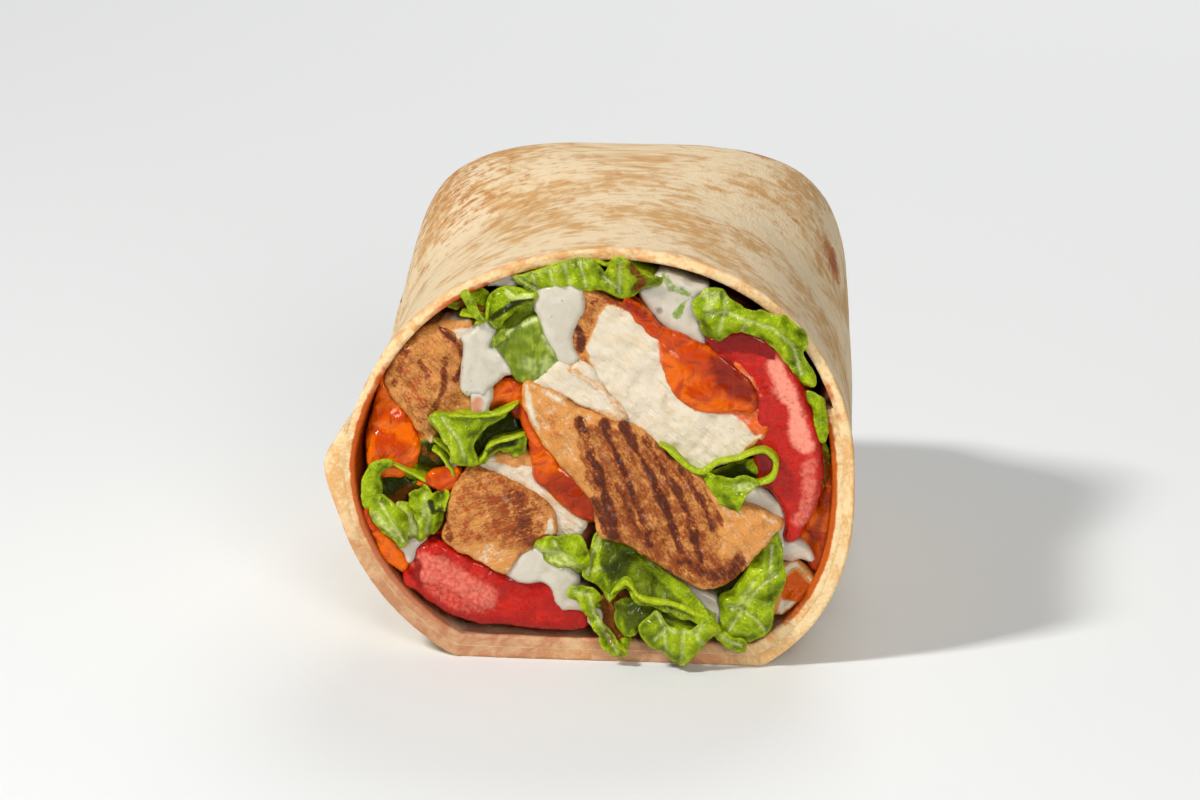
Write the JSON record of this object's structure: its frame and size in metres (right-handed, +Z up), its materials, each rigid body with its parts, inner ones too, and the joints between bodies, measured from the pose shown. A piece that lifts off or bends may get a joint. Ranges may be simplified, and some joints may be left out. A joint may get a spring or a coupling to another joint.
{
  "type": "half of a buffalo chicken wrap",
  "caption": "Cut half of a rolled flour tortilla wrap, lying on its side, filled with grilled chicken, lettuce, tomato, orange hot sauce and white dressing.",
  "frame": {"origin": "middle of the underside of the bounding box, on the surface the wrap lies on", "axes": "+Z up; +Y along the roll from the cut face towards the tucked end, so the cut face looks along -Y; +X to the right as the cut face is looked at"},
  "size_m": [0.0752, 0.1002, 0.0616],
  "materials": {
    "tortilla": "soft baked flour tortilla, cream with light brown toasting and darker spots",
    "chicken": "moist cooked chicken breast, pale and finely fibrous where cut",
    "browned_chicken": "seasoned grilled chicken skin, tan to dark brown with char lines",
    "tomato": "wet cut tomato with shiny skin",
    "celery": "wet green celery dice",
    "lettuce": "crisp ruffled lettuce with pale ribs and edges",
    "buffalo_sauce": "thick glossy orange hot sauce",
    "ranch_dressing": "creamy off-white dressing with small green herb flecks"
  },
  "bodies": {
    "root": {"tortilla": "tortilla", "breast_slice": "chicken", "tucked_strip": "chicken", "grilled_strip": "browned_chicken", "browned_chunk": "browned_chicken", "corner_chunk": "browned_chicken", "edge_piece": "browned_chicken", "tomato_side": "tomato", "tomato_base": "tomato", "celery_piece": "celery", "lettuce_crest": "lettuce", "lettuce_corner": "lettuce", "lettuce_side": "lettuce", "lettuce_cup": "lettuce", "lettuce_left": "lettuce", "lettuce_under": "lettuce", "lettuce_fringe": "lettuce", "lettuce_base": "lettuce", "lettuce_curl": "lettuce", "buffalo_left": "buffalo_sauce", "buffalo_middle": "buffalo_sauce", "buffalo_slice": "buffalo_sauce", "buffalo_side": "buffalo_sauce", "ranch_dressing": "ranch_dressing", "ranch_side": "ranch_dressing"}
  },
  "joints": []
}
